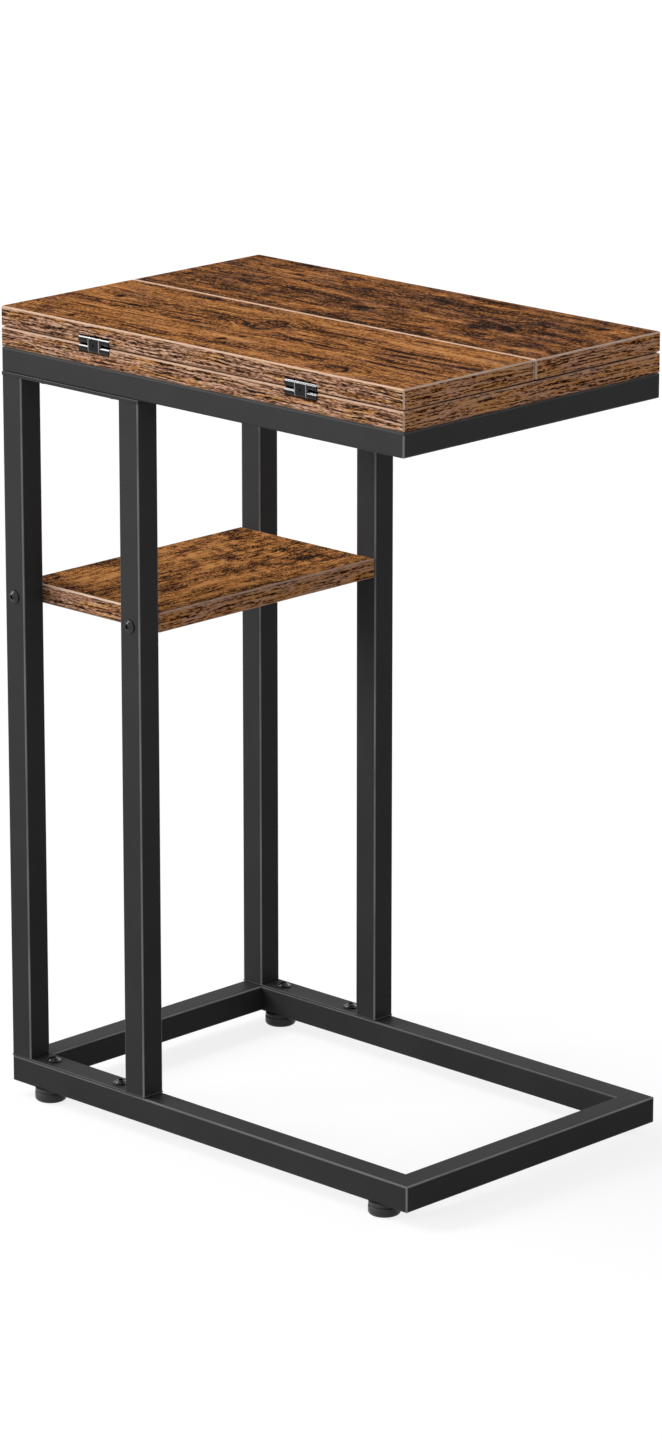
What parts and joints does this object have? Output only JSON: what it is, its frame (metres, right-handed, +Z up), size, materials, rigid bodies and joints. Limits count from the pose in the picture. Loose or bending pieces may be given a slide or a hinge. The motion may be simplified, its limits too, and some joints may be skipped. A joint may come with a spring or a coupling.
{
  "type": "c-shaped side table",
  "caption": "C-shaped side table with a steel frame, a shelf between the posts, and a wooden top whose leaves turn over outwards to double its width.",
  "frame": {"origin": "on the floor, under the middle of the overall box with the leaves closed", "axes": "+Z up, +X along the top towards the open end of the C, +Y towards the back; the posts stand at -X"},
  "size_m": [0.446, 0.2962, 0.66],
  "materials": {
    "rustic_board": "melamine-faced particle board printed as rough-sawn rustic brown planks, satin",
    "edge_band": "printed edge band with short dark grain, paler at its bevels",
    "black_steel": "black powder coat with a fine texture, satin",
    "black_hinge": "glossy black plated zinc",
    "black_bolt": "black oxide steel, glossy",
    "zinc_steel": "zinc plated steel",
    "black_plastic": "moulded black plastic, matt"
  },
  "bodies": {
    "table_frame": {"base_rail_front": "black_steel", "base_rail_back": "black_steel", "base_rail_left": "black_steel", "base_rail_right": "black_steel", "post_front_left": "black_steel", "post_front_right": "black_steel", "post_back_left": "black_steel", "post_back_right": "black_steel", "top_strap_front": "black_steel", "top_strap_back": "black_steel", "foot_strap_front": "black_steel", "foot_strap_back": "black_steel", "top_rail_front": "black_steel", "top_rail_back": "black_steel", "top_rail_left": "black_steel", "top_rail_right": "black_steel", "base_bolts": "black_bolt", "top_bolts": "black_bolt", "shelf_bolts": "black_bolt", "base_nuts": "zinc_steel", "top_nuts": "zinc_steel", "shelf_inserts": "zinc_steel", "top_board_screws": "zinc_steel", "foot_nuts": "zinc_steel", "hinge_screws_fixed": "black_bolt", "shelf_board": "rustic_board", "fixed_top_board": "rustic_board", "shelf_edging": "edge_band", "fixed_top_edging": "edge_band", "hinge_cups_fixed_front": "black_hinge", "hinge_cups_fixed_back": "black_hinge", "hinge_pins_fixed_front": "zinc_steel", "hinge_pins_fixed_back": "zinc_steel"},
    "front_links": {"hinge_links_front": "black_hinge"},
    "back_links": {"hinge_links_back": "black_hinge"},
    "front_leaf": {"leaf_board_front": "rustic_board", "leaf_edging_front": "edge_band", "hinge_cups_leaf_front": "black_hinge", "hinge_pins_leaf_front": "zinc_steel", "hinge_screws_leaf_front": "black_bolt"},
    "back_leaf": {"leaf_board_back": "rustic_board", "leaf_edging_back": "edge_band", "hinge_cups_leaf_back": "black_hinge", "hinge_pins_leaf_back": "zinc_steel", "hinge_screws_leaf_back": "black_bolt"},
    "pad_front_left": {"foot_pad_front_left": "black_plastic"},
    "stud_front_left": {"foot_stud_front_left": "zinc_steel"},
    "pad_front_right": {"foot_pad_front_right": "black_plastic"},
    "stud_front_right": {"foot_stud_front_right": "zinc_steel"},
    "pad_back_left": {"foot_pad_back_left": "black_plastic"},
    "stud_back_left": {"foot_stud_back_left": "zinc_steel"},
    "pad_back_right": {"foot_pad_back_right": "black_plastic"},
    "stud_back_right": {"foot_stud_back_right": "zinc_steel"}
  },
  "joints": [
    {"name": "front_link_turn", "type": "hinge", "parent": "table_frame", "child": "front_links", "pos_m": [-0.003, -0.1425, 0.64], "axis": [1, 0, 0], "range_deg": [0, 90]},
    {"name": "front_leaf_turn", "type": "hinge", "parent": "front_links", "child": "front_leaf", "pos_m": [-0.003, -0.1425, 0.647], "axis": [1, 0, 0], "range_deg": [0, 90]},
    {"name": "back_link_turn", "type": "hinge", "parent": "table_frame", "child": "back_links", "pos_m": [-0.003, 0.1425, 0.64], "axis": [-1, 0, 0], "range_deg": [0, 90]},
    {"name": "back_leaf_turn", "type": "hinge", "parent": "back_links", "child": "back_leaf", "pos_m": [-0.003, 0.1425, 0.647], "axis": [-1, 0, 0], "range_deg": [0, 90]},
    {"name": "pad_front_left_travel", "type": "slide", "parent": "table_frame", "child": "pad_front_left", "axis": [0, 0, -1], "range_m": [0, 0.00626]},
    {"name": "stud_front_left_turn", "type": "hinge", "parent": "pad_front_left", "child": "stud_front_left", "pos_m": [-0.189, -0.134, 0], "axis": [0, 0, 1], "range_deg": [0, 1800]},
    {"name": "pad_front_right_travel", "type": "slide", "parent": "table_frame", "child": "pad_front_right", "axis": [0, 0, -1], "range_m": [0, 0.00626]},
    {"name": "stud_front_right_turn", "type": "hinge", "parent": "pad_front_right", "child": "stud_front_right", "pos_m": [0.189, -0.134, 0], "axis": [0, 0, 1], "range_deg": [0, 1800]},
    {"name": "pad_back_left_travel", "type": "slide", "parent": "table_frame", "child": "pad_back_left", "axis": [0, 0, -1], "range_m": [0, 0.00626]},
    {"name": "stud_back_left_turn", "type": "hinge", "parent": "pad_back_left", "child": "stud_back_left", "pos_m": [-0.189, 0.134, 0], "axis": [0, 0, 1], "range_deg": [0, 1800]},
    {"name": "pad_back_right_travel", "type": "slide", "parent": "table_frame", "child": "pad_back_right", "axis": [0, 0, -1], "range_m": [0, 0.00626]},
    {"name": "stud_back_right_turn", "type": "hinge", "parent": "pad_back_right", "child": "stud_back_right", "pos_m": [0.189, 0.134, 0], "axis": [0, 0, 1], "range_deg": [0, 1800]}
  ],
  "couplings": [
    {"joint": "front_link_turn", "follows": "front_leaf_turn", "ratio": 1},
    {"joint": "back_link_turn", "follows": "back_leaf_turn", "ratio": 1},
    {"joint": "pad_front_left_travel", "follows": "stud_front_left_turn", "m_per_rad": 0.00019894},
    {"joint": "pad_front_right_travel", "follows": "stud_front_right_turn", "m_per_rad": 0.00019894},
    {"joint": "pad_back_left_travel", "follows": "stud_back_left_turn", "m_per_rad": 0.00019894},
    {"joint": "pad_back_right_travel", "follows": "stud_back_right_turn", "m_per_rad": 0.00019894}
  ]
}
